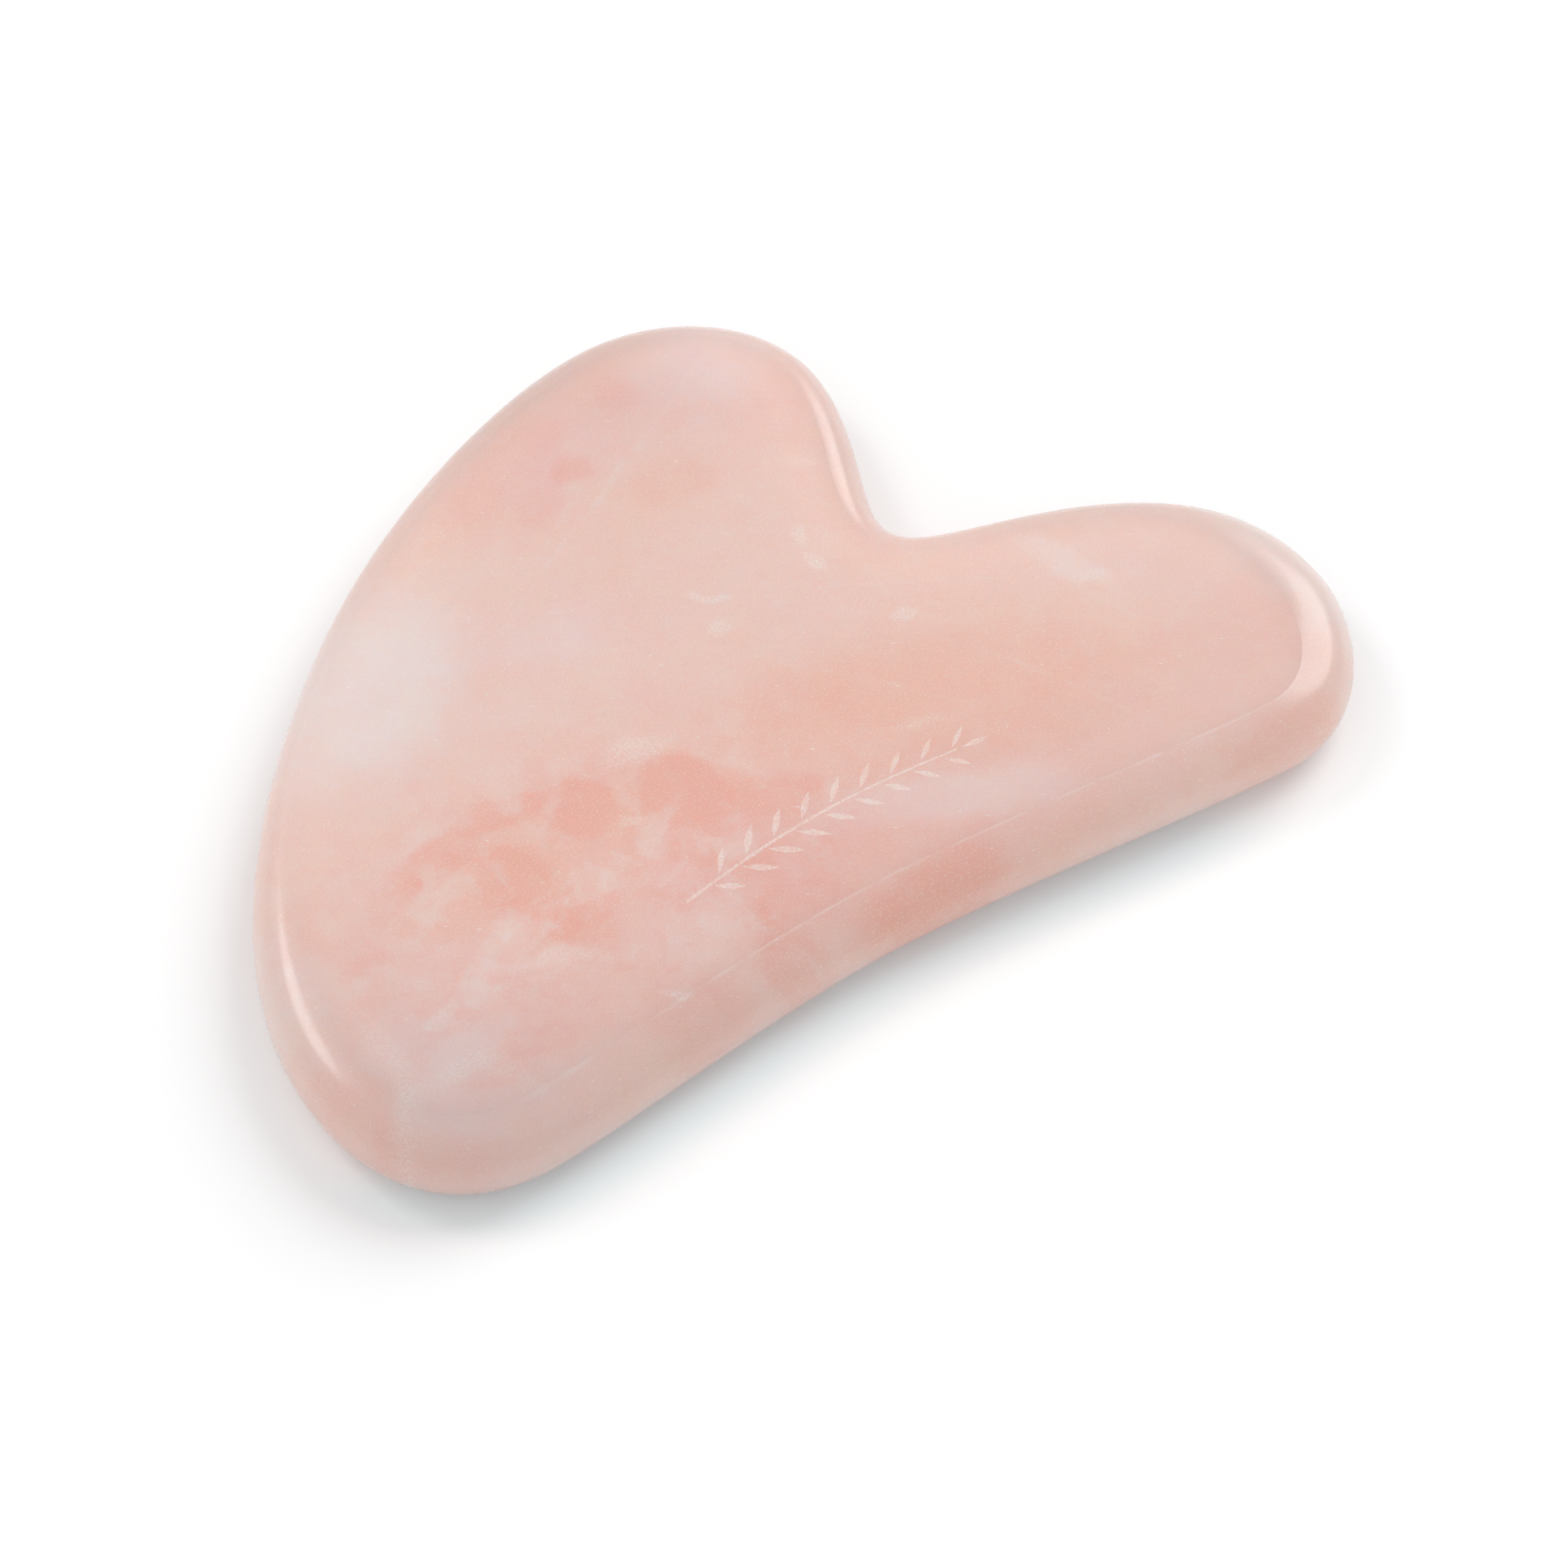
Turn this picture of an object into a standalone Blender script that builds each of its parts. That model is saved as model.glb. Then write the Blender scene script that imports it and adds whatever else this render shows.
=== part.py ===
"""Gua sha scraper: a flat heart-shaped massage stone with a polished round rim.

The whole object is one piece of rose quartz, sawn as a slab, ground to a heart outline with one
long hollow side, and polished so that its rim rolls over from one flat face to the other.

Metres, +Z up. The stone lies on its lower face. The origin is on that face, under the middle of
the outline. +X runs along the hollow side from the heel to the small lobe, +Y to the big lobe.
"""

import math
from collections import namedtuple

import bmesh
import bpy
from mathutils import Vector, geometry

MM = 0.001

# Driving dimensions, in millimetres.
LENGTH = 80.0  # along X, heel to small lobe
WIDTH = 55.0  # along Y, hollow side to big lobe
THICKNESS = 6.0  # along Z, between the two flat faces

# Width of the rolled rim, from the edge of the flat face out to the nose, in millimetres.
BACK_RIM = 2.3  # cleft, big lobe and long back
HOLLOW_RIM = 3.2  # hollow side
HEEL_RIM = 3.7  # rounded point of the heart
SMALL_LOBE_RIM = 4.1  # end of the small lobe

HEEL = -LENGTH / 2
TOE = LENGTH / 2
FRONT = -WIDTH / 2
CROWN = WIDTH / 2

# A point of the outline: its place, the outline's heading there in degrees, how far the curve
# holds that heading before and after the point, and the width of the rim.
Knot = namedtuple("Knot", "x y heading reach_before reach_after rim_width")

# The outline, counter-clockwise from above, as one closed curve.
OUTLINE = (
    Knot(HEEL, -15.0, -90, 9.5, 7.5, HEEL_RIM),  # end of the heel
    Knot(-29.0, FRONT, 0, 7.0, 5.5, HEEL_RIM),  # foot of the heel
    Knot(0.0, FRONT + 2.2, -1, 10.0, 9.0, HOLLOW_RIM),  # deepest part of the hollow side
    Knot(30.0, FRONT, 0, 5.5, 6.5, HOLLOW_RIM),  # foot of the small lobe
    Knot(TOE, -16.5, 90, 4.5, 6.0, SMALL_LOBE_RIM),  # end of the small lobe
    Knot(30.3, -3.0, 154, 7.5, 6.0, BACK_RIM),  # shoulder of the small lobe
    Knot(18.0, 1.8, 136, 2.3, 3.5, BACK_RIM),  # bottom of the cleft
    Knot(20.8, 17.0, 92, 6.5, 5.5, BACK_RIM),  # cleft side of the big lobe
    Knot(8.0, CROWN, 180, 7.2, 7.2, BACK_RIM),  # crown of the big lobe
    Knot(-21.1, 15.1, 219, 12.0, 16.0, BACK_RIM),  # long back
)

STEPS_PER_SPAN = 16  # outline steps between two of its points
RIM_STEPS = 12  # rim steps from the upper flat face to the lower one
SMOOTH_BELOW = math.radians(40.0)

STONE_COLOUR = (0.79, 0.52, 0.46, 1.0)
STONE_ROUGHNESS = 0.22


def clear_scene():
    for thing in list(bpy.data.objects):
        bpy.data.objects.remove(thing, do_unlink=True)


def ease(start, end, t):
    """A value that leaves start and reaches end without a kink."""
    return start + (end - start) * t * t * (3.0 - 2.0 * t)


def heading_vector(degrees):
    angle = math.radians(degrees)
    return Vector((math.cos(angle), math.sin(angle), 0.0))


def outline_samples():
    """Points along the outline, each with its rim width, in millimetres."""
    samples = []
    for index, knot in enumerate(OUTLINE):
        following = OUTLINE[(index + 1) % len(OUTLINE)]
        start = Vector((knot.x, knot.y, 0.0))
        end = Vector((following.x, following.y, 0.0))
        leave = start + heading_vector(knot.heading) * knot.reach_after
        arrive = end - heading_vector(following.heading) * following.reach_before
        span = geometry.interpolate_bezier(start, leave, arrive, end, STEPS_PER_SPAN + 1)
        for step, point in enumerate(span[:-1]):
            rim_width = ease(knot.rim_width, following.rim_width, step / STEPS_PER_SPAN)
            samples.append((point, rim_width))
    return samples


def inward_directions(points):
    """Unit vectors across the outline, into the stone, one per point."""
    count = len(points)
    directions = []
    for index in range(count):
        along = points[(index + 1) % count] - points[index - 1]
        directions.append(Vector((-along.y, along.x, 0.0)).normalized())
    return directions


def rim_section():
    """The rim's half-ellipse, upper face to lower: how far in, as a share of its width, and how high."""
    section = []
    for step in range(RIM_STEPS + 1):
        climb = math.pi * (0.5 - step / RIM_STEPS)
        inset = 1.0 - math.cos(climb)
        height = THICKNESS * (0.5 + 0.5 * math.sin(climb))
        section.append((inset, height))
    return section


def stone_mesh():
    samples = outline_samples()
    points = [point for point, _ in samples]
    inward = inward_directions(points)
    stone = bmesh.new()
    rings = []
    for inset, height in rim_section():
        ring = []
        for (point, rim_width), direction in zip(samples, inward):
            place = point + direction * (inset * rim_width)
            place.z = height
            ring.append(stone.verts.new(place * MM))
        rings.append(ring)
    count = len(points)
    for upper, lower in zip(rings, rings[1:]):
        for index in range(count):
            after = (index + 1) % count
            stone.faces.new((upper[index], lower[index], lower[after], upper[after]))
    stone.faces.new(rings[0])
    stone.faces.new(reversed(rings[-1]))
    bmesh.ops.recalc_face_normals(stone, faces=stone.faces)
    mesh = bpy.data.meshes.new("scraper_stone")
    stone.to_mesh(mesh)
    stone.free()
    mesh.shade_smooth()
    mesh.set_sharp_from_angle(angle=SMOOTH_BELOW)
    return mesh


def rose_quartz():
    material = bpy.data.materials.new("rose_quartz")
    material.use_nodes = True
    shader = material.node_tree.nodes["Principled BSDF"]
    shader.inputs["Base Color"].default_value = STONE_COLOUR
    shader.inputs["Roughness"].default_value = STONE_ROUGHNESS
    shader.inputs["Metallic"].default_value = 0.0
    material.diffuse_color = STONE_COLOUR
    return material


def scraper_stone():
    mesh = stone_mesh()
    mesh.materials.append(rose_quartz())
    stone = bpy.data.objects.new("scraper_stone", mesh)
    bpy.context.scene.collection.objects.link(stone)
    return stone


clear_scene()
scraper_stone()
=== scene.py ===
"""The looks of a rose quartz gua sha scraper: the polished stone, its colours and its etched sprig.

Everything is in metres in the part's frame: +X along the hollow side, +Y to the big lobe, +Z up.
Shapes are first written in millimetres and scaled by MM.
"""

import math
from collections import namedtuple

import bmesh
import bpy
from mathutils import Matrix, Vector, geometry


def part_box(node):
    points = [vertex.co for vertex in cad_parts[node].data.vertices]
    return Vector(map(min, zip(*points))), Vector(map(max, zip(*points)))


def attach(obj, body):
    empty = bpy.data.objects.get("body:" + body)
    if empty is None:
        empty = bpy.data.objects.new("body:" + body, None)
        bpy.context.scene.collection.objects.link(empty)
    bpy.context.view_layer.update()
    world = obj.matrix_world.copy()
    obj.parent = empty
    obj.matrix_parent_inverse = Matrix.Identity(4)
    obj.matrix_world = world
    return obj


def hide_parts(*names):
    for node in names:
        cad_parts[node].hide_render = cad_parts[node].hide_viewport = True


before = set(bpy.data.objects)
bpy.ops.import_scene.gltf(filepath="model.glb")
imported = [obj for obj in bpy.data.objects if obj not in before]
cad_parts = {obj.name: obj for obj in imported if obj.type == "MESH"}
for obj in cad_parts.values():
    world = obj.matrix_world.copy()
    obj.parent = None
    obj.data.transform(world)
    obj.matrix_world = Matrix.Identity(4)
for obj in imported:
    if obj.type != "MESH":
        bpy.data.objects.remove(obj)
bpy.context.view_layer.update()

MM = 0.001

STONE_LOW, STONE_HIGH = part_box("scraper_stone")
LENGTH = (STONE_HIGH.x - STONE_LOW.x) / MM
WIDTH = (STONE_HIGH.y - STONE_LOW.y) / MM
THICKNESS = (STONE_HIGH.z - STONE_LOW.z) / MM

HEEL = -LENGTH / 2
TOE = LENGTH / 2
FRONT = -WIDTH / 2
CROWN = WIDTH / 2
HOLLOW_DEPTH = 2.2  # how far the hollow side curves in, in millimetres

# Width of the rolled rim, and how steeply it leaves the flat face, in millimetres and degrees.
BACK_RIM, BACK_CREASE = 2.3, 5.0
LONG_BACK_RIM, LONG_BACK_CREASE = 1.8, 4.0
HOLLOW_RIM, HOLLOW_CREASE = 3.2, 10.0
HEEL_RIM, HEEL_CREASE = 3.7, 3.0
SMALL_LOBE_RIM, SMALL_LOBE_CREASE = 4.1, 0.0
SLOW_START = 0.6  # how much more gently than an ellipse the rim sets off where there is no crease

# A point of the outline: its place, the outline's heading there in degrees, how far the curve
# holds that heading before and after the point, the width of the rim and the angle of its crease.
Knot = namedtuple("Knot", "x y heading reach_before reach_after rim_width crease")

# The outline, counter-clockwise from above, as one closed curve.
OUTLINE = (
    Knot(HEEL, -15.0, -90, 9.5, 7.5, HEEL_RIM, HEEL_CREASE),
    Knot(-29.0, FRONT, 0, 7.0, 5.5, HEEL_RIM, HEEL_CREASE),
    Knot(0.0, FRONT + HOLLOW_DEPTH, -1, 10.0, 9.0, HOLLOW_RIM, HOLLOW_CREASE),
    Knot(30.0, FRONT, 0, 5.5, 6.5, HOLLOW_RIM, HOLLOW_CREASE),
    Knot(TOE, -16.5, 90, 4.5, 6.0, SMALL_LOBE_RIM, SMALL_LOBE_CREASE),
    Knot(30.3, -3.0, 154, 7.5, 6.0, BACK_RIM, BACK_CREASE),
    Knot(18.0, 1.8, 136, 2.3, 3.5, BACK_RIM, BACK_CREASE),
    Knot(20.8, 17.0, 92, 6.5, 5.5, BACK_RIM, BACK_CREASE),
    Knot(8.0, CROWN, 180, 7.2, 7.2, BACK_RIM, BACK_CREASE),
    Knot(-21.1, 15.1, 219, 12.0, 16.0, LONG_BACK_RIM, LONG_BACK_CREASE),
)

# The upper face carries how near the rim is, which sets how far the painted shade reaches in: how far
# inside the crease that starts, in millimetres.
NEARNESS_REACH = 2.6
NEARNESS_RINGS = 5
NEARNESS_NAME = "nearness_to_rim"

STEPS_PER_SPAN = 48  # outline steps between two of its points
RIM_STEPS = 40  # rim steps from the upper flat face to the lower one
FILL_INSIDE = 1  # how the upper face is filled: triangles only inside its ring
FILL_EPSILON = 1e-6  # points closer than this, in millimetres, are one
POLISHED_SLOT = 0
ETCHED_SLOT = 1

# The sprig etched into the upper face beside the hollow, in millimetres and degrees.
STEM_FOOT = Vector((-11.6, -16.6))
STEM_TIP = Vector((11.6, -16.2))
STEM_RISE = 1.0
STEM_WIDTH = 0.26
STEM_TAPER = 0.5  # how much narrower it is at its tip, as a share
STEM_END = 0.94  # share of the way to the tip at which the stem itself ends
STEM_STEPS = 40
LEAF_PAIRS = 9
FIRST_LEAVES = 0.10  # share of the way along the stem
LAST_LEAVES = 0.90
LEAF_STAGGER = 0.018  # how far ahead of the pair's place one leaf grows, and how far behind the other
LEAF_LENGTH = 2.7
LEAF_TAPER = 0.35  # how much shorter leaves would be at the stem's tip, as a share
FIRST_LEAF_SIZE = 0.8  # of a leaf's full length
END_LEAF_SIZE = 0.7
END_LEAF_FOOT = 0.96
LEAF_WIDTH = 0.19  # share of the leaf's length
LEAF_TIP_WIDTH = 0.04
LEAF_POINTEDNESS = 1.3
LEAF_SPREAD = 42.0
LEAF_GAP = 0.42  # from the middle of the stem to the foot of a leaf
LEAF_STEPS = 12
ETCH_DEPTH = 0.05

# The camera looks down at the stone from beside its heel, along a line turned from +Y.
CAMERA_TURN = math.radians(33.3)
CAMERA_ELEVATION = math.radians(54.0)
CAMERA_DISTANCE = 0.6
VIEW_WIDTH = 0.1049  # what the frame takes in at the stone
VIEW_CENTRE = Vector((0.0002, -0.0103, 0.003))
SENSOR = 36.0

# The studio: an even room, a weak fill beside the camera and a table that glows a little.
ROOM_RADIANCE = 0.50
FILL_RADIANCE = 0.42
LIGHT_DISTANCE = 1.2
TABLE_HALF = 5.0
TABLE_GLOW = 0.12
FAR_GLOW = 0.8  # how much more it glows far away, where it fades to plain white
FAR_START = 0.25
FAR_END = 1.0
TABLE_WHITE = (0.845, 0.850, 0.850, 1.0)

# Painted shadow: the table is darker and cooler in a strip along the hollow and the heel, which also
# offsets the pink light that the stone throws into its shadow. The strip goes round a bar, in
# millimetres, with round ends and the stone's hollow. Each pair says where the strip ends and where it is
# full: away from the bar, along X, and along Y.
PAINTED_SHADOW_WHITE = (0.735, 0.812, 0.83, 1.0)
BAR_RADIUS = 12.5
BAR_HOLLOW_END = 28.0  # along X, to either side
STRIP_WIDTH = (3.6, 0.4)
STRIP_LOBE_END = (30.0, 20.0)
STRIP_BACK_END = (-17.0, -24.0)


def ease(start, end, t):
    """A value that leaves start and reaches end without a kink."""
    return start + (end - start) * t * t * (3.0 - 2.0 * t)


def heading_vector(degrees):
    angle = math.radians(degrees)
    return Vector((math.cos(angle), math.sin(angle), 0.0))


# ---------------------------------------------------------------- stone


def outline_samples():
    """Points along the outline in millimetres, each with its rim width and crease angle."""
    samples = []
    for index, knot in enumerate(OUTLINE):
        following = OUTLINE[(index + 1) % len(OUTLINE)]
        start = Vector((knot.x, knot.y, 0.0))
        end = Vector((following.x, following.y, 0.0))
        leave = start + heading_vector(knot.heading) * knot.reach_after
        arrive = end - heading_vector(following.heading) * following.reach_before
        span = geometry.interpolate_bezier(start, leave, arrive, end, STEPS_PER_SPAN + 1)
        for step, point in enumerate(span[:-1]):
            along = step / STEPS_PER_SPAN
            rim_width = ease(knot.rim_width, following.rim_width, along)
            crease = ease(knot.crease, following.crease, along)
            samples.append((point, rim_width, crease))
    return samples


def inward_directions(points):
    """Unit vectors across the outline, into the stone, one per point."""
    count = len(points)
    directions = []
    for index in range(count):
        along = points[(index + 1) % count] - points[index - 1]
        directions.append(Vector((-along.y, along.x, 0.0)).normalized())
    return directions


def rim_place(rim_width, crease, share):
    """How far in from the nose, and how high, a point of the rim is: share 0 is the upper crease.

    The section is an ellipse whose top and bottom are cut off by the flat faces, so that it meets
    them at the crease angle. The smaller that angle, the more slowly the rim starts to fall.
    """
    half = THICKNESS / 2
    cut = math.atan(math.tan(math.radians(crease)) * rim_width / half)
    tall = half / math.cos(cut)
    power = 2.0 / (2.0 + SLOW_START * (1.0 - crease / HOLLOW_CREASE))
    wide = rim_width / (1.0 - math.sin(cut) ** power)
    angle = cut + (math.pi - 2.0 * cut) * share
    inset = wide * (1.0 - math.sin(angle) ** power)
    height = half + tall * math.cos(angle)
    return inset, height


def stem_place(share):
    """A point of the sprig's stem in plan, from its foot to its tip."""
    arch = STEM_RISE * math.sin(math.pi * share)
    return STEM_FOOT.lerp(STEM_TIP, share) + Vector((0.0, arch))


def stem_heading(share):
    nearby = 0.01
    return (stem_place(share + nearby) - stem_place(share - nearby)).normalized()


def band_loop(places, widths):
    """A closed loop, counter-clockwise, around a line of places that has the given widths."""
    left = []
    right = []
    for index, place in enumerate(places):
        before = places[max(index - 1, 0)]
        after = places[min(index + 1, len(places) - 1)]
        along = (after - before).normalized()
        across = Vector((-along.y, along.x)) * widths[index] / 2
        left.append(place + across)
        right.append(place - across)
    return right + left[::-1]


def leaf_loop(foot, heading, length):
    """The outline of an almond-shaped leaf."""
    spine = []
    widths = []
    for step in range(LEAF_STEPS + 1):
        share = step / LEAF_STEPS
        spine.append(foot + heading * length * share)
        belly = math.sin(math.pi * share) ** LEAF_POINTEDNESS
        widths.append(LEAF_TIP_WIDTH + LEAF_WIDTH * length * belly)
    return band_loop(spine, widths)


def sprig_loops():
    """The outlines of the etched stem and leaves in plan, in millimetres."""
    shares = [STEM_END * step / STEM_STEPS for step in range(STEM_STEPS + 1)]
    widths = [STEM_WIDTH * (1.0 - STEM_TAPER * share) for share in shares]
    loops = [band_loop([stem_place(share) for share in shares], widths)]
    for pair in range(LEAF_PAIRS):
        share = FIRST_LEAVES + (LAST_LEAVES - FIRST_LEAVES) * pair / (LEAF_PAIRS - 1)
        heading = stem_heading(share)
        length = LEAF_LENGTH * (1.0 - LEAF_TAPER * share)
        if pair == 0:
            length *= FIRST_LEAF_SIZE
        for side in (-1, 1):
            spread = math.radians(LEAF_SPREAD * side)
            turned = Vector((
                heading.x * math.cos(spread) - heading.y * math.sin(spread),
                heading.x * math.sin(spread) + heading.y * math.cos(spread),
            ))
            foot = stem_place(share + LEAF_STAGGER * side) + turned * LEAF_GAP
            loops.append(leaf_loop(foot, turned, length))
    foot = stem_place(END_LEAF_FOOT)
    loops.append(leaf_loop(foot, stem_heading(END_LEAF_FOOT), LEAF_LENGTH * END_LEAF_SIZE))
    return loops


def join_rings(stone, upper, lower):
    """A band of faces between two rings that have as many corners."""
    for index in range(len(upper)):
        stone.faces.new((upper[index - 1], lower[index - 1], lower[index], upper[index]))


def inner_rings(stone, samples, inward, crease_ring):
    """Rings on the upper face inside the crease, which carry how near the rim is; gives the last."""
    nearness = stone.verts.layers.float[NEARNESS_NAME]
    outer = crease_ring
    for step in range(1, NEARNESS_RINGS + 1):
        share = step / NEARNESS_RINGS
        ring = []
        for (point, rim_width, _), direction in zip(samples, inward):
            place = point + direction * (rim_width + NEARNESS_REACH * share)
            place.z = THICKNESS
            corner = stone.verts.new(place * MM)
            corner[nearness] = (1.0 - share) ** 2
            ring.append(corner)
        join_rings(stone, ring, outer)
        outer = ring
    return outer


def mark_sharp(stone, loop):
    """Mark the edges of a closed loop, so that shading breaks there."""
    for index, corner in enumerate(loop):
        stone.edges.get((corner, loop[index - 1])).smooth = False


def etch(stone, ring, loops):
    """Fill the upper flat face, with each loop sunk into it as a shallow frosted recess."""
    points = [corner.co.xy / MM for corner in ring]
    borders = [list(range(len(points)))]
    for loop in loops:
        borders.append(list(range(len(points), len(points) + len(loop))))
        points.extend(loop)
    filled = geometry.delaunay_2d_cdt(points, [], borders, FILL_INSIDE, FILL_EPSILON)
    _, _, triangles, origins, _, sources = filled
    place_of = [origin[0] for origin in origins]
    top = list(ring)
    floor = list(ring)
    for point in points[len(ring):]:
        top.append(stone.verts.new(Vector((point.x, point.y, THICKNESS)) * MM))
        floor.append(stone.verts.new(Vector((point.x, point.y, THICKNESS - ETCH_DEPTH)) * MM))
    for corners, source in zip(triangles, sources):
        etched = len(source) > 1  # inside a loop as well as inside the ring
        level = floor if etched else top
        face = stone.faces.new([level[place_of[corner]] for corner in corners])
        face.material_index = ETCHED_SLOT if etched else POLISHED_SLOT
    for border in borders[1:]:
        for index, corner in enumerate(border):
            before = border[index - 1]
            wall = stone.faces.new((top[before], top[corner], floor[corner], floor[before]))
            wall.material_index = ETCHED_SLOT
        mark_sharp(stone, [top[corner] for corner in border])
        mark_sharp(stone, [floor[corner] for corner in border])


def stone_mesh():
    samples = outline_samples()
    inward = inward_directions([point for point, _, _ in samples])
    stone = bmesh.new()
    nearness = stone.verts.layers.float.new(NEARNESS_NAME)
    rings = []
    for step in range(RIM_STEPS + 1):
        ring = []
        for (point, rim_width, crease), direction in zip(samples, inward):
            inset, height = rim_place(rim_width, crease, step / RIM_STEPS)
            place = point + direction * inset
            place.z = height
            corner = stone.verts.new(place * MM)
            corner[nearness] = 1.0
            ring.append(corner)
        rings.append(ring)
    for upper, lower in zip(rings, rings[1:]):
        join_rings(stone, upper, lower)
    stone.faces.new(reversed(rings[-1]))
    etch(stone, inner_rings(stone, samples, inward, rings[0]), sprig_loops())
    bmesh.ops.recalc_face_normals(stone, faces=stone.faces)
    for face in stone.faces:
        face.smooth = True
    for loop in (rings[0], rings[-1]):
        mark_sharp(stone, loop)
    mesh = bpy.data.meshes.new("polished_stone")
    stone.to_mesh(mesh)
    stone.free()
    return mesh


# ---------------------------------------------------------------- shader helpers


def wire(tree, value, socket):
    """Feed a socket from another node, or set it to a constant."""
    if isinstance(value, bpy.types.NodeSocket):
        tree.links.new(value, socket)
    else:
        socket.default_value = value


def maths(tree, operation, first, second=0.0, clamp=False):
    node = tree.nodes.new("ShaderNodeMath")
    node.operation = operation
    node.use_clamp = clamp
    wire(tree, first, node.inputs[0])
    wire(tree, second, node.inputs[1])
    return node.outputs["Value"]


def vectors(tree, operation, first, second):
    node = tree.nodes.new("ShaderNodeVectorMath")
    node.operation = operation
    wire(tree, first, node.inputs[0])
    wire(tree, second, node.inputs[1])
    return node.outputs["Vector"]


def fade(tree, value, start, end):
    """0 below start, 1 above end, eased between them; start may be the larger."""
    node = tree.nodes.new("ShaderNodeMapRange")
    node.interpolation_type = "SMOOTHSTEP"
    wire(tree, value, node.inputs["Value"])
    node.inputs["From Min"].default_value = min(start, end)
    node.inputs["From Max"].default_value = max(start, end)
    node.inputs["To Min"].default_value = 0.0 if start < end else 1.0
    node.inputs["To Max"].default_value = 1.0 if start < end else 0.0
    return node.outputs["Result"]


def noise(tree, place, size, detail=2.0, output="Fac"):
    """Cloudy noise about 0.5, with features of the given size in millimetres."""
    node = tree.nodes.new("ShaderNodeTexNoise")
    wire(tree, place, node.inputs["Vector"])
    node.inputs["Scale"].default_value = 1.0 / size
    node.inputs["Detail"].default_value = detail
    return node.outputs[output]


def swing(tree, value, amount):
    """Noise about 0.5 turned into a swing about 0."""
    return maths(tree, "MULTIPLY", maths(tree, "SUBTRACT", value, 0.5), amount)


def mottle(tree, place, size, detail, amount):
    """Cloudy noise that swings about 0."""
    return swing(tree, noise(tree, place, size, detail), amount)


def millimetres(tree):
    """The place in the part's frame, in millimetres."""
    texture = tree.nodes.new("ShaderNodeTexCoord")
    return vectors(tree, "MULTIPLY", texture.outputs["Object"], (1 / MM, 1 / MM, 1 / MM))


def along_axis(tree, place, axis):
    """One coordinate of a place."""
    node = tree.nodes.new("ShaderNodeSeparateXYZ")
    tree.links.new(place, node.inputs["Vector"])
    return node.outputs[axis]


def vector_length(tree, vector):
    node = tree.nodes.new("ShaderNodeVectorMath")
    node.operation = "LENGTH"
    tree.links.new(vector, node.inputs[0])
    return node.outputs["Value"]


def times(tree, *values):
    product = values[0]
    for value in values[1:]:
        product = maths(tree, "MULTIPLY", product, value)
    return product


def plus(tree, *values):
    total = values[0]
    for value in values[1:]:
        total = maths(tree, "ADD", total, value)
    return total


def unit(tree, value):
    """A value held between 0 and 1."""
    return maths(tree, "MULTIPLY", value, 1.0, clamp=True)


def cloud(tree, place, spot):
    """A cloud that reaches down through the stone, 1 inside and 0 outside."""
    reach = 1.0 + spot.soft
    node = tree.nodes.new("ShaderNodeTexGradient")
    node.gradient_type = "SPHERICAL"
    wire(tree, place, node.inputs["Vector"])
    node.texture_mapping.vector_type = "TEXTURE"
    node.texture_mapping.translation = (spot.x, spot.y, THICKNESS)
    node.texture_mapping.rotation = (0.0, 0.0, math.radians(spot.turn))
    node.texture_mapping.scale = (spot.long * reach, spot.wide * reach, CLOUD_DEPTH * reach)
    return fade(tree, node.outputs["Fac"], 0.0, 2.0 * spot.soft / reach)


def clouds(tree, place, spots):
    """The strengths of many clouds added up."""
    total = 0.0
    for spot in spots:
        share = cloud(tree, place, spot)
        total = maths(tree, "ADD", total, maths(tree, "MULTIPLY", share, spot.strength))
    return total


def blend(tree, share, under, over):
    """Mix two colours; sockets 6 and 7 are the node's colour pair."""
    node = tree.nodes.new("ShaderNodeMix")
    node.data_type = "RGBA"
    wire(tree, share, node.inputs[0])
    wire(tree, under, node.inputs[6])
    wire(tree, over, node.inputs[7])
    return node.outputs[2]


# ---------------------------------------------------------------- rose quartz

# Reflectance of the stone from its milkiest to its pinkest, of what lies in it and on it, and of the
# painted glint on its crease.
MILKY = (0.832, 0.664, 0.645, 1.0)
PINK = (0.854, 0.557, 0.508, 1.0)
SALMON = (0.845, 0.440, 0.376, 1.0)
VEIN_WHITE = (0.83, 0.68, 0.65, 1.0)
FROST_AND_GLINT_WHITE = (0.90, 0.78, 0.745, 1.0)
MAUVE_TINT = (0.995, 0.98, 1.015)
PEACH_TINT = (1.0, 1.005, 0.955)
SPECK_GREY = (0.30, 0.23, 0.20, 1.0)

BASE_PINKNESS = 0.49
BASE_WARMTH = 0.5
POLISH_TURN = -33.0  # the polishing streaks run this way across the flat face, in degrees from +X
CLOUD_DEPTH = 1.5 * THICKNESS  # how far a cloud reaches down from the upper face

# How strongly each kind of flaw, and the painted glint on the crease, covers the colour under it.
VEIL_COVER = 0.32
CRACK_COVER = 0.26
GRAIN_COVER = 0.5
SCRATCH_COVER = 0.22
DUST_COVER = 0.42
NICK_COVER = 0.7
GLINT_COVER = 0.30

CRYSTAL_SIZE = 3.4  # in millimetres, where the stone is broken up
CALM_SHARDS = 0.12  # how much of that there is everywhere else
CALM_VEILS = 0.22

# The skin: its gloss, and the height of its ripples in millimetres.
POLISHED_ROUGHNESS = 0.20
ETCHED_ROUGHNESS = 0.55
RIPPLE_HEIGHT = 0.02
STREAK_RIPPLE = 0.08  # a streak's share of that

# Places in millimetres; soft is the share of its radius over which a cloud fades in.
Cloud = namedtuple("Cloud", "x y long wide turn strength soft")

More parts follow.
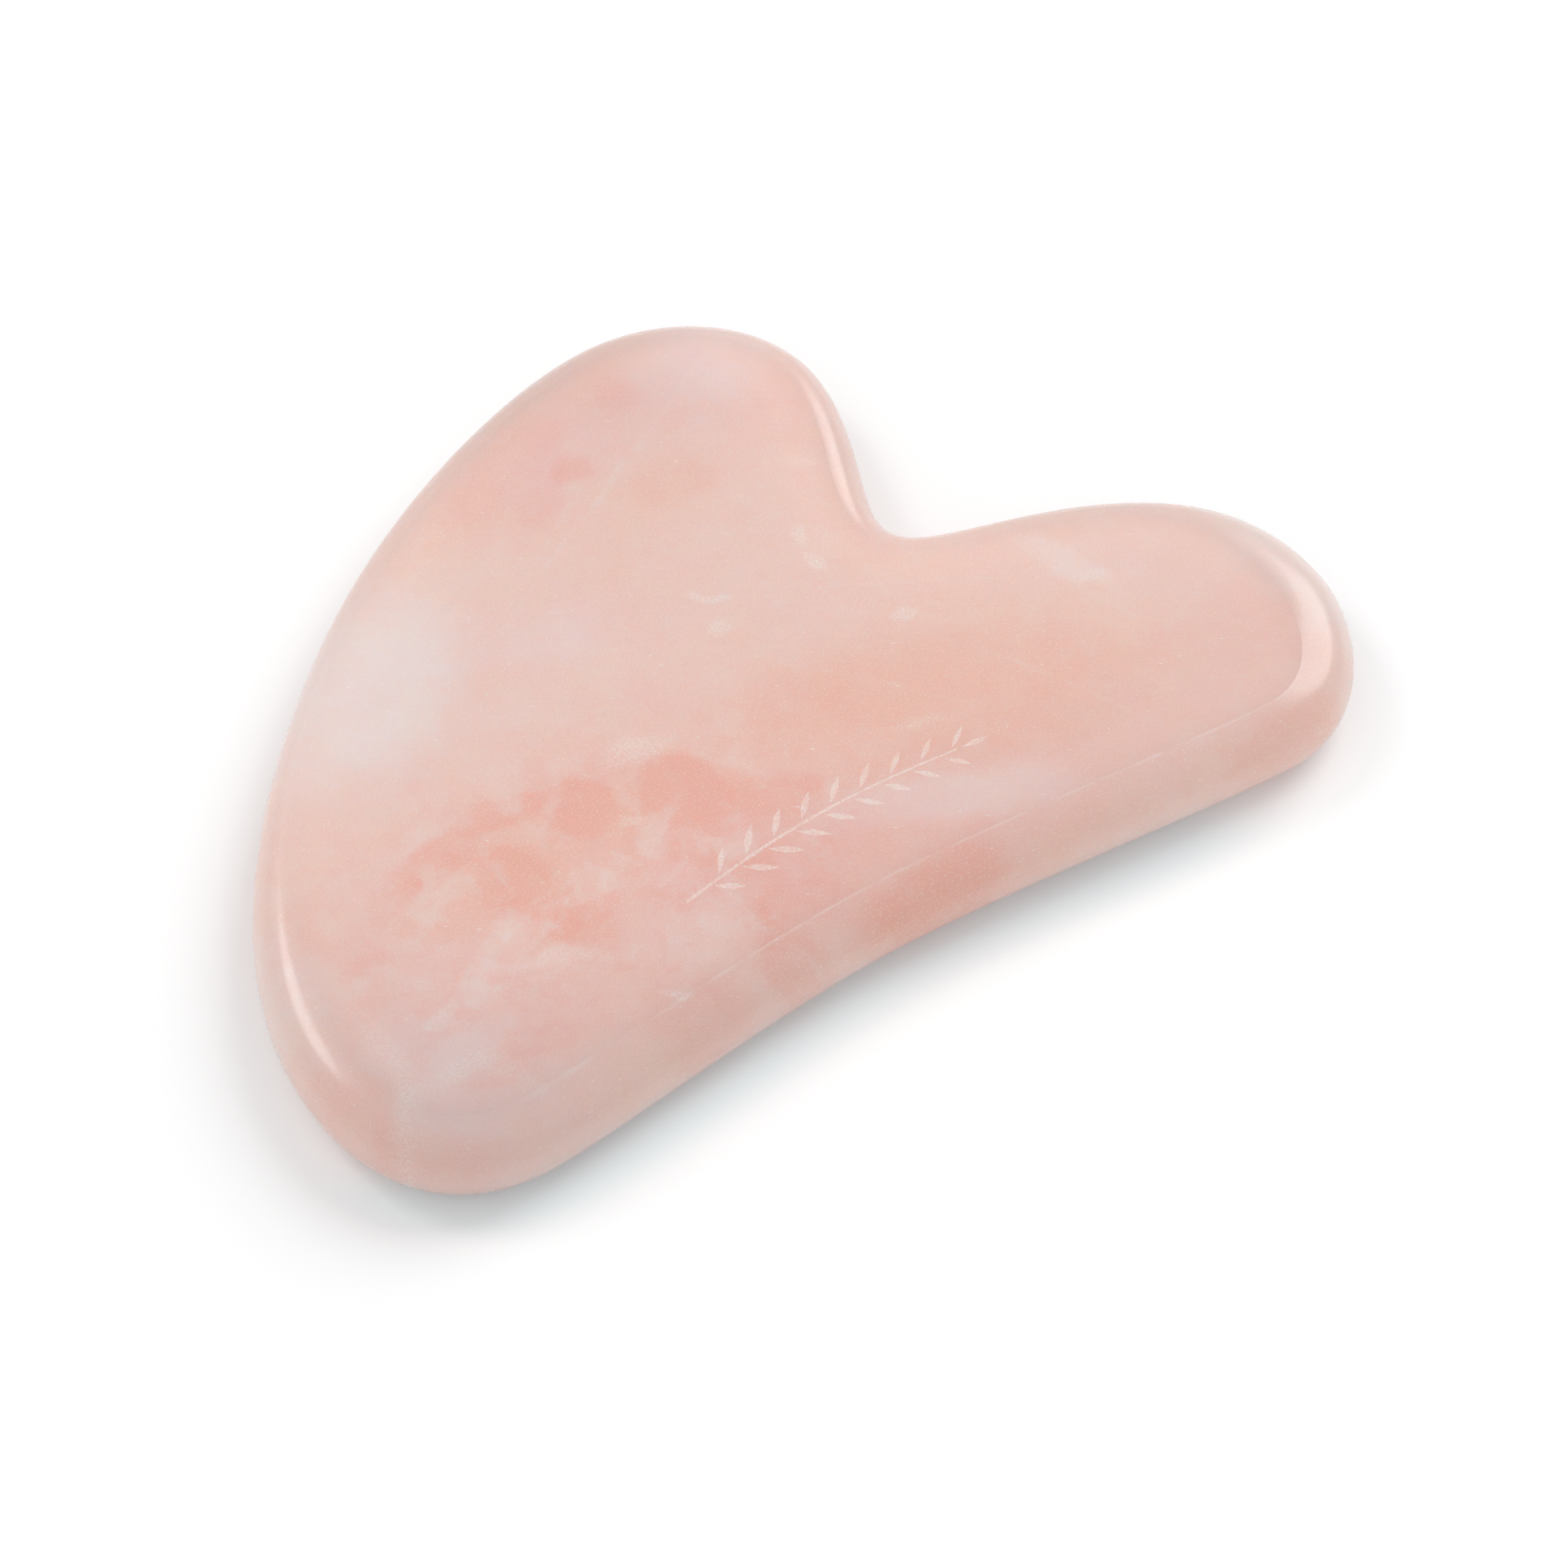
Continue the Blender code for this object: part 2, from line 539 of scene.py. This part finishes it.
# Strength is what a cloud adds to the pinkness, below 0 for a milky one.
CLOUDS = (
    Cloud(-20.0, 9.6, 7.6, 5.0, 32, -0.42, 0.55),  # milky cloud on the long back
    Cloud(-21.0, 2.5, 8.0, 3.6, 10, -0.08, 0.60),
    Cloud(14.0, 21.5, 4.8, 3.4, -35, -0.26, 0.60),  # pale tip of the big lobe
    Cloud(-7.5, 6.8, 3.8, 2.2, -30, -0.13, 0.60),
    Cloud(7.5, -18.9, 7.0, 1.9, -22, -0.36, 0.60),  # pale band along the hollow
    Cloud(-34.0, -20.0, 6.0, 5.5, 50, -0.14, 0.60),  # pale heel
    Cloud(-29.5, -19.0, 4.5, 1.6, -15, -0.12, 0.60),
    Cloud(-12.5, -19.2, 3.4, 2.0, -15, -0.08, 0.60),
    Cloud(-15.0, -11.0, 3.0, 1.6, -20, -0.10, 0.60),
    Cloud(25.0, -6.5, 0.8, 3.6, 25, -0.22, 0.60),
    Cloud(30.0, -9.0, 8.0, 5.0, -20, -0.14, 0.60),
    Cloud(-2.0, -12.0, 30.0, 9.5, -8, 0.17, 0.50),  # warm belt from the heel to the small lobe
    Cloud(13.0, -12.5, 12.0, 5.0, -22, 0.10, 0.60),
    Cloud(-13.0, -9.5, 13.0, 6.0, -10, 0.14, 0.50),
    Cloud(-23.8, -4.9, 3.6, 1.5, 14, 0.26, 0.30),  # salmon patches in it
    Cloud(-17.2, -4.0, 3.0, 1.5, -12, 0.24, 0.30),
    Cloud(-13.2, -6.6, 2.5, 2.2, -40, 0.30, 0.25),
    Cloud(-20.2, -8.9, 2.6, 2.2, 40, 0.24, 0.30),
    Cloud(-19.0, -14.0, 3.2, 1.7, -30, 0.24, 0.35),
    Cloud(-7.0, -8.8, 3.2, 2.6, -60, 0.28, 0.30),
    Cloud(-2.5, -12.0, 3.8, 1.8, -25, 0.20, 0.35),
    Cloud(3.5, -6.5, 6.0, 2.4, -22, 0.05, 0.50),
    Cloud(-2.0, -16.5, 7.0, 2.6, -10, 0.10, 0.60),
    Cloud(-13.0, 14.0, 6.0, 4.0, 35, -0.08, 0.60),
    Cloud(-5.0, -20.6, 4.2, 1.8, -12, 0.20, 0.35),
    Cloud(-7.8, -25.0, 2.2, 3.6, 12, 0.26, 0.40),  # red ends of the clouds in the hollow's rim
    Cloud(2.0, -25.0, 5.2, 2.6, 0, 0.30, 0.50),
    Cloud(-15.5, -25.0, 3.5, 2.4, 0, 0.18, 0.40),
    Cloud(-26.0, -20.4, 3.4, 1.3, -18, 0.18, 0.40),
    Cloud(-8.0, -20.5, 17.0, 5.0, -6, 0.12, 0.60),
    Cloud(8.0, -25.5, 9.0, 3.0, 0, 0.16, 0.60),
    Cloud(30.0, -27.0, 5.0, 2.0, 0, 0.22, 0.50),
    Cloud(-39.5, -19.5, 2.8, 4.5, 20, 0.28, 0.50),
    Cloud(-36.0, -26.0, 5.0, 3.0, -40, 0.24, 0.50),
    Cloud(-29.6, -21.2, 2.4, 1.2, -15, 0.16, 0.35),
    Cloud(38.5, -15.0, 3.0, 9.5, 4, -0.34, 0.60),  # pale end of the small lobe, partly a painted highlight on its rim
    Cloud(-38.0, -7.5, 3.0, 5.0, 0, -0.24, 0.60),
    Cloud(1.2, 18.0, 1.4, 1.1, 0, 0.30, 0.50),  # spots in the big lobe
    Cloud(-2.2, 16.3, 2.6, 1.4, 35, 0.16, 0.60),
    Cloud(1.4, 21.3, 1.8, 1.5, 0, 0.14, 0.60),
    Cloud(7.4, 21.5, 1.7, 1.6, 0, 0.12, 0.60),
    Cloud(-4.0, 20.0, 5.5, 2.6, 30, 0.14, 0.60),
    Cloud(6.5, 13.4, 3.6, 1.9, -10, 0.12, 0.45),
)

# Frosty bruises just under the polish: here strength is how white they are.
FROST = (
    Cloud(-7.5, -4.6, 2.4, 1.0, -8, 0.45, 0.50),
    Cloud(3.3, 3.9, 1.3, 0.4, -35, 0.50, 0.50),
    Cloud(2.4, 1.1, 1.0, 0.8, 0, 0.45, 0.40),
    Cloud(11.2, 4.6, 0.4, 0.9, -20, 0.55, 0.50),
    Cloud(11.0, 2.2, 0.5, 0.9, 10, 0.60, 0.50),
    Cloud(13.7, -4.9, 0.9, 0.4, -30, 0.50, 0.50),
    Cloud(25.8, -9.0, 1.2, 0.4, -30, 0.35, 0.50),
    Cloud(-12.5, -19.2, 3.2, 1.4, -15, 0.20, 0.70),
    Cloud(-16.3, -22.3, 0.9, 0.3, -30, 0.60, 0.50),
    Cloud(-30.0, -15.3, 1.2, 0.6, 20, 0.40, 0.60),
    Cloud(9.5, -13.0, 2.2, 0.5, -20, 0.30, 0.60),
    Cloud(-11.0, -9.0, 0.7, 0.3, -20, 0.45, 0.50),
    Cloud(14.8, 10.3, 1.0, 0.4, -40, 0.35, 0.60),
    Cloud(-34.4, -16.5, 4.0, 0.8, 84, 0.42, 0.90),  # wisps around the heel
    Cloud(-31.5, -19.6, 3.4, 0.6, 4, 0.46, 0.90),
    Cloud(-28.4, -22.0, 2.2, 0.6, -75, 0.40, 0.90),
    Cloud(-36.8, -21.8, 3.4, 0.6, 60, 0.40, 0.90),
    Cloud(-22.0, -15.6, 3.6, 0.5, -22, 0.36, 0.90),
)

# Where the stone is broken up into crystals with pale veins between them, and how strongly.
CRYSTAL_ZONE = Cloud(-18.0, -12.5, 19.0, 10.0, -8, 0.80, 0.60)
# Where the stone is more orange than mauve, and where less.
WARMTH = (
    Cloud(14.0, -12.0, 14.0, 6.0, -20, 0.36, 0.60),
    Cloud(-18.0, -8.5, 9.0, 4.0, -10, 0.18, 0.60),
    Cloud(-9.0, 14.0, 6.0, 4.0, 35, 0.10, 0.60),
    Cloud(4.0, 13.5, 6.0, 3.0, 0, 0.20, 0.60),
    Cloud(1.0, 19.0, 7.0, 3.6, 15, -0.25, 0.60),
    Cloud(14.0, 20.0, 5.0, 6.0, 0, -0.25, 0.60),
    Cloud(-7.0, -16.0, 9.0, 4.5, -10, -0.22, 0.60),
    Cloud(-31.0, -20.0, 10.0, 7.0, 40, -0.22, 0.60),
    Cloud(-8.0, 7.0, 6.0, 3.0, -30, -0.20, 0.60),
    Cloud(8.0, -19.0, 8.0, 2.4, -20, -0.25, 0.60),
    Cloud(-21.0, 9.0, 9.0, 6.0, 32, -0.14, 0.60),
)

# Healed cracks: long, thin and pale.
FRACTURES = (
    Cloud(3.0, 15.6, 12.0, 0.22, 27, 0.30, 0.90),
    Cloud(-4.0, 13.2, 7.0, 0.16, 31, 0.24, 0.90),
    Cloud(10.0, 16.8, 5.0, 0.30, -4, 0.22, 0.90),
    Cloud(6.5, 8.0, 6.0, 0.14, -28, 0.20, 0.90),
    Cloud(-9.5, 0.5, 7.0, 0.20, -22, 0.16, 0.90),
    Cloud(16.0, -3.0, 9.0, 0.16, -30, 0.20, 0.90),
    Cloud(24.5, -8.0, 6.0, 0.26, -72, 0.22, 0.90),
    Cloud(8.0, -7.5, 8.0, 0.22, -48, 0.18, 0.90),
    Cloud(-25.5, -13.5, 9.0, 0.24, 22, 0.24, 0.90),
    Cloud(-12.0, -12.0, 7.0, 0.22, 63, 0.22, 0.90),
    Cloud(-20.5, -17.0, 7.0, 0.26, -16, 0.26, 0.90),
    Cloud(-8.0, -22.5, 9.0, 0.18, -66, 0.24, 0.90),
    Cloud(20.0, -16.5, 7.0, 0.16, -62, 0.22, 0.90),
    Cloud(29.5, -14.5, 5.0, 0.14, 24, 0.18, 0.90),
)

# Painted shade: the stone is made greyer and darker towards its outline; here strength is the share of
# EDGE_SHADE in it.
PAINTED_SHADE_ZONES = (
    Cloud(-33.0, -27.0, 26.0, 12.0, -4, 0.075, 0.60),  # heel
    Cloud(-40.0, -19.0, 12.0, 14.0, 0, 0.12, 0.70),
    Cloud(-42.0, 0.0, 12.0, 16.0, 0, 0.065, 0.70),
    Cloud(0.0, -30.0, 46.0, 12.0, 0, 0.14, 0.55),  # hollow side
    Cloud(10.0, 32.0, 17.0, 13.0, 0, 0.165, 0.70),  # crown
    Cloud(28.0, 12.0, 9.0, 14.0, 0, 0.14, 0.70),  # cleft
    Cloud(38.0, 1.0, 15.0, 9.0, -20, 0.14, 0.70),  # small lobe
    Cloud(46.0, -14.0, 14.0, 16.0, 0, 0.13, 0.70),
    Cloud(-27.0, 22.0, 28.0, 12.0, 39, 0.06, 0.70),  # long back
)
FRONT_PAINTED_SHADE = 0.075  # painted shade: how much darker the stone is made at the rim, along the hollow and heel
NOSE_SHADE_RELIEF = 0.04  # how much less painted shade there is at mid height
NOSE_RELIEF_HEIGHT = (THICKNESS / 2 - 0.8, 0.6)  # how far off mid height that ends, and where it is full
BACK_PAINTED_SHADE = 0.20  # painted shade along the rest of the outline, which faces the lights
EDGE_SHADE = (0.0, 0.15, 0.165, 1.0)  # what the colour moves towards in the painted shade: red light leaks out there

# The painted shade changes from the front's to the back's between these values of Y + BACK_SLANT x X.
FRONT_END = -14.0
BACK_START = 20.0
BACK_SLANT = 0.6

# A painted highlight: a thin white glint along the crease by the hollow. Each pair says where the glint
# ends
# and where it is full, in millimetres: below the upper face, along Y, and along X.
GLINT_TOP = (0.0002, 0.002)
GLINT_BOTTOM = (0.045, 0.012)
GLINT_BACK_END = (-14.0, -19.0)
GLINT_HEEL_END = (-32.0, -25.0)
GLINT_LOBE_END = (36.0, 29.0)


def drifted(tree, place, reach, size, detail):
    """A place moved about by noise, so that clouds get ragged borders."""
    push = vectors(tree, "SUBTRACT", noise(tree, place, size, detail, "Color"), (0.5, 0.5, 0.5))
    return vectors(tree, "ADD", place, vectors(tree, "MULTIPLY", push, (reach, reach, reach)))


def shifted(tree, place, x, y, z):
    """A place moved away, where the noise is a different one."""
    return vectors(tree, "ADD", place, (x, y, z))


def along_polish(tree, place, stretch):
    """Places squeezed along the polishing direction, so that noise in them comes out as streaks."""
    node = tree.nodes.new("ShaderNodeMapping")
    node.vector_type = "TEXTURE"
    wire(tree, place, node.inputs["Vector"])
    node.inputs["Rotation"].default_value = (0.0, 0.0, math.radians(POLISH_TURN))
    node.inputs["Scale"].default_value = (stretch, 1.0, 1.0)
    return node.outputs["Vector"]


def voronoi(tree, place, size, feature, output):
    """Cells of the given size in millimetres."""
    node = tree.nodes.new("ShaderNodeTexVoronoi")
    node.feature = feature
    tree.links.new(place, node.inputs["Vector"])
    node.inputs["Scale"].default_value = 1.0 / size
    return node.outputs[output]


def crystal_zone(tree, ragged):
    """How much the stone is broken up into crystals."""
    return times(tree, cloud(tree, ragged, CRYSTAL_ZONE), CRYSTAL_ZONE.strength)


def pinkness(tree, place, ragged, streaks):
    """How pink the stone is, from 0 for milky to 1 for salmon."""
    crystal = voronoi(tree, along_polish(tree, ragged, 1.5), CRYSTAL_SIZE, "SMOOTH_F1", "Color")
    shards = fade(tree, noise(tree, ragged, 2.2, 3.0), 0.47, 0.56)
    zone = crystal_zone(tree, ragged)
    total = plus(
        tree,
        clouds(tree, ragged, CLOUDS),
        BASE_PINKNESS,
        times(tree, swing(tree, crystal, 0.25), zone),
        times(tree, swing(tree, shards, 0.16), plus(tree, zone, CALM_SHARDS)),
        mottle(tree, place, size=8.0, detail=1.0, amount=0.16),
        mottle(tree, ragged, size=2.6, detail=3.0, amount=0.20),
        mottle(tree, place, size=0.8, detail=3.0, amount=0.14),
        mottle(tree, along_polish(tree, place, 5.0), size=1.1, detail=2.0, amount=0.12),
        swing(tree, streaks, 0.10),
    )
    return unit(tree, total)


def warmth(tree, place, ragged):
    """0 where the stone is mauve, 1 where it is peach."""
    total = plus(
        tree,
        clouds(tree, ragged, WARMTH),
        BASE_WARMTH,
        mottle(tree, shifted(tree, ragged, 31.0, 17.0, 5.0), size=3.6, detail=3.0, amount=0.9),
        mottle(tree, shifted(tree, place, 7.0, 41.0, 3.0), size=0.9, detail=3.0, amount=1.1),
    )
    return unit(tree, total)


def pink_ramp(tree, value):
    node = tree.nodes.new("ShaderNodeValToRGB")
    tree.links.new(value, node.inputs["Fac"])
    ramp = node.color_ramp
    ramp.elements[0].color = MILKY
    ramp.elements[1].color = SALMON
    ramp.elements.new(0.5).color = PINK
    return node.outputs["Color"]


def veins(tree, place, ragged):
    """Smoky veils, mostly where the stone is broken up, and thin pale cracks."""
    zone = crystal_zone(tree, ragged)
    smoke = noise(tree, shifted(tree, ragged, 3.0, 11.0, 23.0), 3.0, 3.0)
    veils = times(tree, fade(tree, smoke, 0.50, 0.68), plus(tree, zone, CALM_VEILS), VEIL_COVER)
    wavy = drifted(tree, place, reach=0.9, size=2.2, detail=3.0)
    border = voronoi(tree, ragged, CRYSTAL_SIZE, "DISTANCE_TO_EDGE", "Distance")
    patchy = fade(tree, noise(tree, place, 1.8, 2.0), 0.46, 0.66)
    cracks = times(tree, fade(tree, border, 0.10, 0.0), patchy, zone, CRACK_COVER)
    broken = fade(tree, noise(tree, place, 1.2, 3.0), 0.38, 0.62)
    return plus(tree, veils, cracks, times(tree, clouds(tree, wavy, FRACTURES), broken))


def frost(tree, place, ragged):
    """Bruises of fine white speckle."""
    speckle = fade(tree, noise(tree, place, 0.20, 2.0), 0.30, 0.70)
    return times(tree, clouds(tree, ragged, FROST), speckle)


def grains(tree, place, spacing, size, share):
    """Small round grains: one in each cell of the given spacing, of which only a share is kept."""
    away = voronoi(tree, place, spacing, "F1", "Distance")
    kept = maths(tree, "LESS_THAN", voronoi(tree, place, spacing, "F1", "Color"), share)
    radius = size / spacing
    return times(tree, fade(tree, away, radius, 0.3 * radius), kept)


def stone_colour(tree, place, streaks):
    """The stone's own colour, what lies in it and on it (veins, frost, grains, scratches, dust, nicks),
    and a painted highlight on the crease.
    """
    ragged = drifted(tree, place, reach=2.8, size=3.2, detail=4.0)
    colour = pink_ramp(tree, pinkness(tree, place, ragged, streaks))
    mauve = vectors(tree, "MULTIPLY", colour, MAUVE_TINT)
    peach = vectors(tree, "MULTIPLY", colour, PEACH_TINT)
    colour = blend(tree, warmth(tree, place, ragged), mauve, peach)
    colour = blend(tree, veins(tree, place, ragged), colour, VEIN_WHITE)
    colour = blend(tree, frost(tree, place, ragged), colour, FROST_AND_GLINT_WHITE)
    white_grains = grains(tree, place, spacing=1.5, size=0.13, share=0.45)
    colour = blend(tree, times(tree, white_grains, GRAIN_COVER), colour, FROST_AND_GLINT_WHITE)
    dark_grains = grains(tree, place, spacing=4.0, size=0.10, share=0.45)
    colour = blend(tree, times(tree, dark_grains, GRAIN_COVER), colour, SPECK_GREY)
    scratches = fade(tree, streaks, 0.72, 0.84)
    colour = blend(tree, times(tree, scratches, SCRATCH_COVER), colour, FROST_AND_GLINT_WHITE)
    dust = fade(tree, noise(tree, place, 0.13, 2.0), 0.50, 0.76)
    colour = blend(tree, times(tree, dust, DUST_COVER), colour, FROST_AND_GLINT_WHITE)
    nicks = grains(tree, along_polish(tree, place, 3.5), spacing=0.9, size=0.07, share=0.50)
    colour = blend(tree, times(tree, nicks, NICK_COVER), colour, FROST_AND_GLINT_WHITE)
    # Painted highlight along the crease by the hollow.
    return blend(tree, painted_crease_glint(tree, place), colour, FROST_AND_GLINT_WHITE)


def off_middle(tree, place):
    """How far a place is above or below the middle of the slab."""
    return maths(tree, "ABSOLUTE", maths(tree, "SUBTRACT", along_axis(tree, place, "Z"), THICKNESS / 2))


def painted_shade_share(tree, place):
    """Painted shade: how much darker than its own colour the stone is made at and beside its rim, and
    towards its outline.
    """
    mid_height = fade(tree, off_middle(tree, place), *NOSE_RELIEF_HEIGHT)
    front_shade = plus(tree, times(tree, mid_height, -NOSE_SHADE_RELIEF), FRONT_PAINTED_SHADE)
    slant = times(tree, along_axis(tree, place, "X"), BACK_SLANT)
    back = fade(tree, plus(tree, along_axis(tree, place, "Y"), slant), FRONT_END, BACK_START)
    front = maths(tree, "SUBTRACT", 1.0, back)
    rim_shade = plus(tree, times(tree, back, BACK_PAINTED_SHADE), times(tree, front, front_shade))
    nearness = tree.nodes.new("ShaderNodeAttribute")
    nearness.attribute_name = NEARNESS_NAME
    return plus(tree, clouds(tree, place, PAINTED_SHADE_ZONES), times(tree, nearness.outputs["Fac"], rim_shade))


def painted_crease_glint(tree, place):
    """A painted highlight: a thin pale glint, broken here and there, along the crease by the hollow."""
    below = maths(tree, "SUBTRACT", THICKNESS / 2, off_middle(tree, place))
    line = times(tree, fade(tree, below, *GLINT_TOP), fade(tree, below, *GLINT_BOTTOM))
    broken = fade(tree, noise(tree, place, 2.5, 3.0), 0.36, 0.60)
    x = along_axis(tree, place, "X")
    front = fade(tree, along_axis(tree, place, "Y"), *GLINT_BACK_END)
    by_hollow = times(tree, front, fade(tree, x, *GLINT_HEEL_END))
    return times(tree, line, broken, by_hollow, fade(tree, x, *GLINT_LOBE_END), GLINT_COVER)


def bumped(tree, height, distance):
    """A normal from a height of 0 to 1 that stands for the distance in millimetres."""
    node = tree.nodes.new("ShaderNodeBump")
    node.inputs["Distance"].default_value = distance * MM
    wire(tree, height, node.inputs["Height"])
    return node.outputs["Normal"]


def rose_quartz(name, etched=False):
    """The stone's skin: polished all over, but matt and whitened by tiny chips where it is etched."""
    material = bpy.data.materials.new(name)
    material.use_nodes = True
    tree = material.node_tree
    place = millimetres(tree)
    streaks = noise(tree, along_polish(tree, place, 8.0), 0.3, 2.0)
    colour = stone_colour(tree, place, streaks)
    smears = mottle(tree, along_polish(tree, place, 3.0), size=1.8, detail=2.0, amount=0.14)
    roughness = plus(tree, smears, POLISHED_ROUGHNESS)
    height = plus(tree, noise(tree, place, 3.5, 0.0), times(tree, streaks, STREAK_RIPPLE))
    if etched:
        chips = fade(tree, noise(tree, place, 0.16, 2.0), 0.36, 0.62)
        colour = blend(tree, plus(tree, times(tree, chips, 0.50), 0.10), colour, FROST_AND_GLINT_WHITE)
        height = plus(tree, height, chips)
        roughness = ETCHED_ROUGHNESS
    # Painted shade at and beside the rim, and towards the outline.
    colour = blend(tree, painted_shade_share(tree, place), colour, EDGE_SHADE)
    shader = tree.nodes["Principled BSDF"]
    wire(tree, colour, shader.inputs["Base Color"])
    wire(tree, roughness, shader.inputs["Roughness"])
    wire(tree, bumped(tree, height, RIPPLE_HEIGHT), shader.inputs["Normal"])
    shader.inputs["IOR"].default_value = 1.54
    shader.inputs["Specular IOR Level"].default_value = 0.42
    shader.inputs["Subsurface Weight"].default_value = 1.0
    shader.inputs["Subsurface Radius"].default_value = (1.0, 0.6, 0.5)
    shader.inputs["Subsurface Scale"].default_value = 0.018
    return material


def polished_stone():
    mesh = stone_mesh()
    mesh.materials.append(rose_quartz("rose_quartz"))
    mesh.materials.append(rose_quartz("etched_rose_quartz", etched=True))
    stone = bpy.data.objects.new("polished_stone", mesh)
    bpy.context.scene.collection.objects.link(stone)
    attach(stone, "root")
    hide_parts("scraper_stone")
    return stone


# ---------------------------------------------------------------- studio


def from_camera(azimuth, elevation):
    """A direction from the stone: azimuth 0 points away from the camera, 90 to its right."""
    level = math.radians(azimuth) + CAMERA_TURN
    climb = math.radians(elevation)
    return Vector((math.sin(level) * math.cos(climb), math.cos(level) * math.cos(climb), math.sin(climb)))


def soft_box(name, azimuth, elevation, size, radiance):
    """A round soft light; a disk that sends out radiance L has the energy pi x L x its area."""
    light = bpy.data.lights.new(name, "AREA")
    light.shape = "DISK"
    light.size = size
    light.energy = radiance * math.pi * math.pi * size * size / 4
    box = bpy.data.objects.new(name, light)
    direction = from_camera(azimuth, elevation)
    box.location = direction * LIGHT_DISTANCE
    box.rotation_mode = "QUATERNION"
    box.rotation_quaternion = direction.to_track_quat("Z", "Y")
    box.visible_camera = False
    bpy.context.scene.collection.objects.link(box)


def studio_world():
    """An even room, a little brighter beside and behind the camera; seen directly it is plain white."""
    world = bpy.data.worlds.new("studio")
    world.use_nodes = True
    tree = world.node_tree
    place = tree.nodes.new("ShaderNodeTexCoord")
    facing = tree.nodes.new("ShaderNodeVectorMath")
    facing.operation = "DOT_PRODUCT"
    facing.inputs[1].default_value = from_camera(azimuth=-145, elevation=25)
    tree.links.new(place.outputs["Generated"], facing.inputs[0])
    fill = maths(tree, "MULTIPLY", fade(tree, facing.outputs["Value"], 0.0, 0.9), FILL_RADIANCE)
    room = tree.nodes["Background"]
    room.inputs["Color"].default_value = (1.0, 1.0, 1.0, 1.0)
    wire(tree, maths(tree, "ADD", fill, ROOM_RADIANCE), room.inputs["Strength"])
    backdrop = tree.nodes.new("ShaderNodeBackground")
    backdrop.inputs["Color"].default_value = (1.0, 1.0, 1.0, 1.0)
    path = tree.nodes.new("ShaderNodeLightPath")
    mix = tree.nodes.new("ShaderNodeMixShader")
    tree.links.new(path.outputs["Is Camera Ray"], mix.inputs["Fac"])
    tree.links.new(room.outputs["Background"], mix.inputs[1])
    tree.links.new(backdrop.outputs["Background"], mix.inputs[2])
    tree.links.new(mix.outputs["Shader"], tree.nodes["World Output"].inputs["Surface"])
    bpy.context.scene.world = world


def table_glow(tree):
    """The table glows a little under the stone, and fades to plain white far away from it."""
    place = tree.nodes.new("ShaderNodeTexCoord")
    far = fade(tree, vector_length(tree, place.outputs["Object"]), FAR_START, FAR_END)
    return plus(tree, times(tree, far, FAR_GLOW), TABLE_GLOW)


def table_colour(tree):
    """White, with a painted shadow: darker and cooler in a strip along the hollow side and the heel."""
    place = millimetres(tree)
    x = along_axis(tree, place, "X")
    y = along_axis(tree, place, "Y")
    aside = maths(tree, "ABSOLUTE", x)
    beyond = maths(tree, "MAXIMUM", maths(tree, "SUBTRACT", aside, TOE - BAR_RADIUS), 0.0)
    from_bar = tree.nodes.new("ShaderNodeCombineXYZ")
    wire(tree, beyond, from_bar.inputs["X"])
    wire(tree, maths(tree, "SUBTRACT", y, FRONT + BAR_RADIUS), from_bar.inputs["Y"])
    hollow = times(tree, fade(tree, aside, BAR_HOLLOW_END, 0.0), HOLLOW_DEPTH)
    gap = plus(tree, vector_length(tree, from_bar.outputs["Vector"]), hollow, -BAR_RADIUS)
    ends = times(tree, fade(tree, x, *STRIP_LOBE_END), fade(tree, y, *STRIP_BACK_END))
    # Painted shadow on the table along the hollow and the heel.
    strip = times(tree, fade(tree, gap, *STRIP_WIDTH), ends)
    return blend(tree, strip, TABLE_WHITE, PAINTED_SHADOW_WHITE)


def white_table():
    material = bpy.data.materials.new("white_table")
    material.use_nodes = True
    tree = material.node_tree
    shader = tree.nodes["Principled BSDF"]
    wire(tree, table_colour(tree), shader.inputs["Base Color"])
    shader.inputs["Roughness"].default_value = 0.6
    shader.inputs["Specular IOR Level"].default_value = 0.2
    shader.inputs["Emission Color"].default_value = (1.0, 1.0, 1.0, 1.0)
    wire(tree, table_glow(tree), shader.inputs["Emission Strength"])
    return material


def table_top():
    mesh = bpy.data.meshes.new("table_top")
    across = (-TABLE_HALF, TABLE_HALF)
    corners = [(x, y, 0.0) for x in across for y in across]
    mesh.from_pydata(corners, [], [(0, 2, 3, 1)])
    mesh.materials.append(white_table())
    floor = bpy.data.objects.new("table_top", mesh)
    bpy.context.scene.collection.objects.link(floor)


def camera():
    lens = bpy.data.cameras.new("camera")
    lens.sensor_width = SENSOR
    lens.lens = SENSOR * CAMERA_DISTANCE / VIEW_WIDTH
    eye = bpy.data.objects.new("camera", lens)
    away = Vector((math.sin(CAMERA_TURN), math.cos(CAMERA_TURN), 0.0))
    back = Vector((0, 0, 1)) * math.sin(CAMERA_ELEVATION) - away * math.cos(CAMERA_ELEVATION)
    eye.location = VIEW_CENTRE + back * CAMERA_DISTANCE
    eye.rotation_mode = "QUATERNION"
    eye.rotation_quaternion = back.to_track_quat("Z", "Y")
    bpy.context.scene.collection.objects.link(eye)
    bpy.context.scene.camera = eye


bpy.context.scene.view_settings.view_transform = "Standard"
camera()
table_top()
soft_box("left_soft_box", azimuth=-60, elevation=47, size=0.42, radiance=4.6)
soft_box("right_soft_box", azimuth=44, elevation=42, size=0.88, radiance=3.8)
studio_world()
polished_stone()
